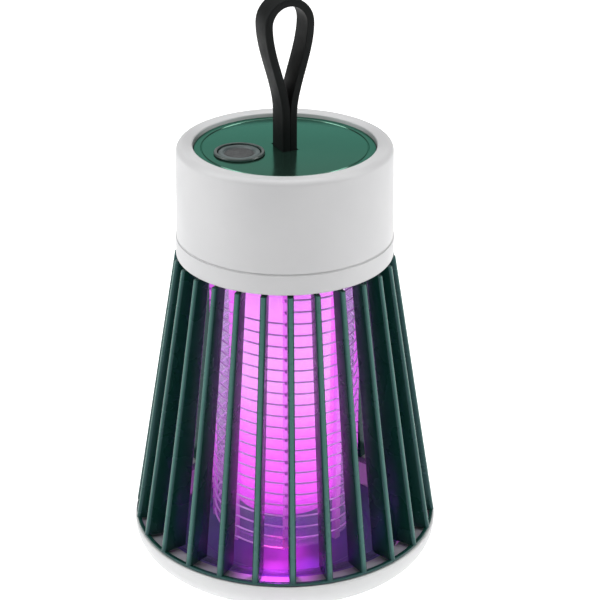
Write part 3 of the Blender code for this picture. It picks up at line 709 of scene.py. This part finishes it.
def make_wires():
    per_turn, sides = 90, 10
    for wire, node in enumerate(("grid_wire_a", "grid_wire_b")):
        count = round((WINDING_TURNS - wire / 2) * per_turn)
        rings = []
        for i in range(count + 1):
            turn = TURN * i / per_turn
            out = Vector((math.cos(WINDING_START + turn), math.sin(WINDING_START + turn), 0))
            centre = out * WINDING_R + Vector((0, 0, wire_height(turn, wire)))
            rings.append([centre + out * (WIRE_R * math.cos(TURN * k / sides)) +
                          Vector((0, 0, WIRE_R * math.sin(TURN * k / sides))) for k in range(sides)])
        finish_piece(f"winding_{'ab'[wire]}", sweep_mesh(f"winding_{'ab'[wire]}", rings), "wire", "housing",
                     [node], sharp=60)


def post_angle(k):
    return TURN * (k + 0.5) / POSTS


def post_mesh(angle):
    """Comb-like post: teeth stand between the wires and each wire lies in a notch."""
    inner, notch, tooth = SLEEVE_R + 0.03 * MM, WINDING_R - WIRE_R - 0.12 * MM, WINDING_R + 0.75 * MM
    half, open_half = 1.25 * MM, 0.55 * MM
    turned = (angle - WINDING_START) % TURN
    top, low = SLEEVE_TOP - 0.6 * MM, SLEEVE_LOW + 0.2 * MM
    z = wire_height(turned, 0)
    while z + WINDING_STEP < top:
        z += WINDING_STEP
    edge = [(tooth, top)]
    while z > low - 0.8 * open_half:
        if z + open_half < top:
            edge += [(tooth, z + open_half), (notch, z + open_half * 0.9)]
            if z - open_half > low:
                edge += [(notch, z - open_half * 0.9), (tooth, z - open_half)]
        z -= WINDING_STEP
    edge.append((edge[-1][0], low))
    outline = edge + [(inner, low), (inner, top)]
    shape = bmesh.new()
    sides = []
    for w in (-half, half):
        sides.append([shape.verts.new((r * math.cos(angle) - w * math.sin(angle),
                                       r * math.sin(angle) + w * math.cos(angle), h)) for r, h in outline])
    shape.faces.new(sides[0])
    shape.faces.new(reversed(sides[1]))
    for k in range(len(outline)):
        n = (k + 1) % len(outline)
        shape.faces.new((sides[0][k], sides[0][n], sides[1][n], sides[1][k]))
    bmesh.ops.recalc_face_normals(shape, faces=shape.faces)
    bmesh.ops.bevel(shape, geom=shape.edges[:], offset=0.10 * MM, segments=2, affect="EDGES",
                    clamp_overlap=True)
    mesh = bpy.data.meshes.new("post")
    shape.to_mesh(mesh)
    shape.free()
    return mesh


def make_clips():
    """Small bosses on every second post that hold the wires down where they cross it."""
    radius, inner, outer = 0.75 * MM, WINDING_R - 0.1 * MM, WINDING_R + 0.95 * MM
    shape = bmesh.new()
    for k in range(1, POSTS, 2):
        angle = post_angle(k)
        z = wire_height((angle - WINDING_START) % TURN, 0)
        while z + WINDING_STEP < WINDING_TOP:
            z += WINDING_STEP
        while z > WINDING_LOW:
            out = Vector((math.cos(angle), math.sin(angle), 0))
            place = Matrix.Translation(out * (inner + outer) / 2 + Vector((0, 0, z)))
            turn = out.to_track_quat("Z", "Y").to_matrix().to_4x4()
            bmesh.ops.create_cone(shape, cap_ends=True, segments=14, radius1=radius, radius2=radius * 0.72,
                                  depth=outer - inner, matrix=place @ turn)
            z -= WINDING_STEP
    mesh = bpy.data.meshes.new("wire_clips")
    shape.to_mesh(mesh)
    shape.free()
    finish_piece("wire_clips", mesh, "clip", "housing")


def make_grid():
    wall, lip = 0.8 * MM, 2.6 * MM
    sleeve = rounded([(SLEEVE_R, SLEEVE_TOP), (SLEEVE_R, SLEEVE_LOW), (SLEEVE_R - lip, SLEEVE_LOW),
                      (SLEEVE_R - lip, SLEEVE_LOW + 2 * MM), (SLEEVE_R - wall, SLEEVE_LOW + 2 * MM),
                      (SLEEVE_R - wall, SLEEVE_TOP - 2 * MM), (SLEEVE_R - lip, SLEEVE_TOP - 2 * MM),
                      (SLEEVE_R - lip, SLEEVE_TOP)], 0.25 * MM, 4)
    lathe("grid_sleeve", sleeve, "sleeve", "housing", ["grid_frame"], 144)
    posts = join_meshes("grid_posts", [post_mesh(post_angle(k)) for k in range(POSTS)])
    finish_piece("grid_posts", posts, "post", "housing", sharp=30)
    make_clips()


# ---------------------------------------------------------------- charging port
def make_port_cover():
    """Soft cover that follows the housing's curve, with a finger tab at its top edge."""
    low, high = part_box("usb_cover")
    r_out = high.y - 0.05 * MM
    r_in = r_out - 1.5 * MM
    rows, corner = 24, 0.35 * MM
    end = 0.06                      # share of half the width over which each end is rounded
    section = rounded([(r_out, high.z), (r_out, low.z), (r_in, low.z), (r_in, high.z)], corner, 4)
    rings = []
    for i in range(rows + 1):
        across = -1 + 2 * i / rows
        x = high.x * across
        into = max(0, abs(across) - (1 - end)) / end
        shrink = corner * (1 - math.sqrt(max(0, 1 - into ** 2)))
        rings.append([(x, math.sqrt(r * r - x * x), z - math.copysign(shrink, z - (low.z + high.z) / 2))
                      for r, z in section])
    cover = sweep_mesh("cover", rings)
    tab_low = (-2.2 * MM, r_out - 0.8 * MM, high.z - 1.3 * MM)
    tab_high = (2.2 * MM, high.y, high.z - 0.5 * MM)
    tab = box_mesh("tab", tab_low, tab_high, 0.25 * MM)
    finish_piece("port_flap", join_meshes("port_flap", [cover, tab]), "rubber", "port_cover",
                 ["usb_cover"])


# ---------------------------------------------------------------- CAD nodes that stay
CARRIED = {"bulkhead": "white", "battery_cell": "cell", "battery_bracket": "black", "main_pcb": "board",
           "tact_switch": "black", "hv_transformer": "ferrite", "hv_capacitor": "film", "usb_socket": "metal",
           "led_core": "core", "housing_screw_1": "metal", "housing_screw_2": "metal",
           "housing_screw_3": "metal"}


def dress_carried():
    for node, look in CARRIED.items():
        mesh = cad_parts[node].data
        mesh.materials.clear()
        mesh.materials.append(LOOKS[look].material)


# ---------------------------------------------------------------- stage, light and camera
def softbox(name, size, at, target, power):
    lamp = bpy.data.lights.new(name, "AREA")
    lamp.shape = "RECTANGLE"
    lamp.size, lamp.size_y = size
    lamp.energy = power
    obj = bpy.data.objects.new(name, lamp)
    obj.location = at
    obj.rotation_euler = (Vector(target) - Vector(at)).to_track_quat("-Z", "Y").to_euler()
    bpy.context.scene.collection.objects.link(obj)


FLOOR_HALF = 14.0       # metres; wide enough that low views don't see past its edge


def make_stage():
    mesh = bpy.data.meshes.new("floor")
    shape = bmesh.new()
    bmesh.ops.create_grid(shape, x_segments=1, y_segments=1, size=FLOOR_HALF)
    shape.to_mesh(mesh)
    shape.free()
    look = Look("stage_white", (0.93, 0.93, 0.93), 0.9)
    look.set("Specular IOR Level", 0.0)
    look.set("Emission Color", (1, 1, 1, 1))
    look.set("Emission Strength", 0.58)
    mesh.materials.append(look.material)
    floor = bpy.data.objects.new("floor", mesh)
    bpy.context.scene.collection.objects.link(floor)
    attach(floor, "seal")      # the base stays standing on the floor when the cage is lifted off it

    world = bpy.data.worlds.new("studio")
    world.use_nodes = True
    world.node_tree.nodes["Background"].inputs["Color"].default_value = (1, 1, 1, 1)
    world.node_tree.nodes["Background"].inputs["Strength"].default_value = 0.11
    bpy.context.scene.world = world


VIEW_AZIMUTH = math.radians(-23.7)
VIEW_PITCH = math.radians(24.70)
VIEW_DISTANCE = 0.5986
VIEW_HEIGHT = 0.3698


def around(azimuth_deg, distance, height):
    """Point at an azimuth to the right of the camera's, seen from above the object."""
    a = VIEW_AZIMUTH + math.radians(azimuth_deg) - math.pi / 2
    return Vector((distance * math.cos(a), distance * math.sin(a), height))


def make_lights():
    target = (0, 0, 0.09)
    softbox("softbox_left", (0.6, 1.0), around(-80, 0.85, 0.78), target, 8.2)
    softbox("softbox_right", (0.5, 1.0), around(82, 0.88, 0.74), target, 7.0)
    softbox("softbox_top", (0.9, 0.9), (0.0, 0.0, 1.2), target, 6.6)
    softbox("softbox_back", (1.8, 0.7), around(180, 1.2, 0.60), (0, 0, PLATE_TOP), 2.2)
    softbox("softbox_front", (0.20, 0.5), around(4, 1.1, 0.62), target, 0.2)

    glow = bpy.data.lights.new("lamp_spill", "POINT")
    glow.energy = 0.012
    glow.color = (0.88, 0.04, 1.0)
    glow.shadow_soft_size = 0.009
    source = bpy.data.objects.new("lamp_spill", glow)
    source.location = (0, 0, LAMP_LOW - 2 * MM)
    bpy.context.scene.collection.objects.link(source)

    rim, floor = (41 * MM, DISH_TOP), (28.5 * MM, TRAY_TOP)
    for name, azimuth, away, (reach, z), cone, power, color in (
            ("lamp_spill_rim", -4, 32 * MM, rim, 46, 0.27, (0.82, 0.06, 1.0)),
            ("lamp_spill_floor_left", -8, 38 * MM, floor, 17, 0.86, (1.0, 0.055, 0.34)),
            ("lamp_spill_floor_right", 18, 38 * MM, floor, 17, 0.28, (1.0, 0.10, 0.95))):
        spill = bpy.data.lights.new(name, "SPOT")
        spill.energy = power
        spill.color = color
        spill.spot_size = math.radians(cone)
        spill.spot_blend = 0.9
        spill.shadow_soft_size = 0.003
        source = bpy.data.objects.new(name, spill)
        source.location = around(azimuth, away, 46 * MM)
        aim = around(azimuth, reach, z) - source.location
        source.rotation_euler = aim.to_track_quat("-Z", "Y").to_euler()
        bpy.context.scene.collection.objects.link(source)


def make_camera():
    camera = bpy.data.cameras.new("camera")
    camera.lens = 115.45
    camera.sensor_width = 36.0
    camera.shift_x = 0.0252
    camera.clip_start = 0.01
    obj = bpy.data.objects.new("camera", camera)
    obj.location = around(0, VIEW_DISTANCE, VIEW_HEIGHT)
    obj.rotation_euler = (math.pi / 2 - VIEW_PITCH, 0, VIEW_AZIMUTH)
    bpy.context.scene.collection.objects.link(obj)
    bpy.context.scene.camera = obj


make_camera()
make_dish()
make_cage()
make_housing()
make_button()
make_strap()
make_lamp()
make_wires()
make_grid()
make_port_cover()
dress_carried()
make_stage()
make_lights()
bpy.context.scene.view_settings.view_transform = "Standard"
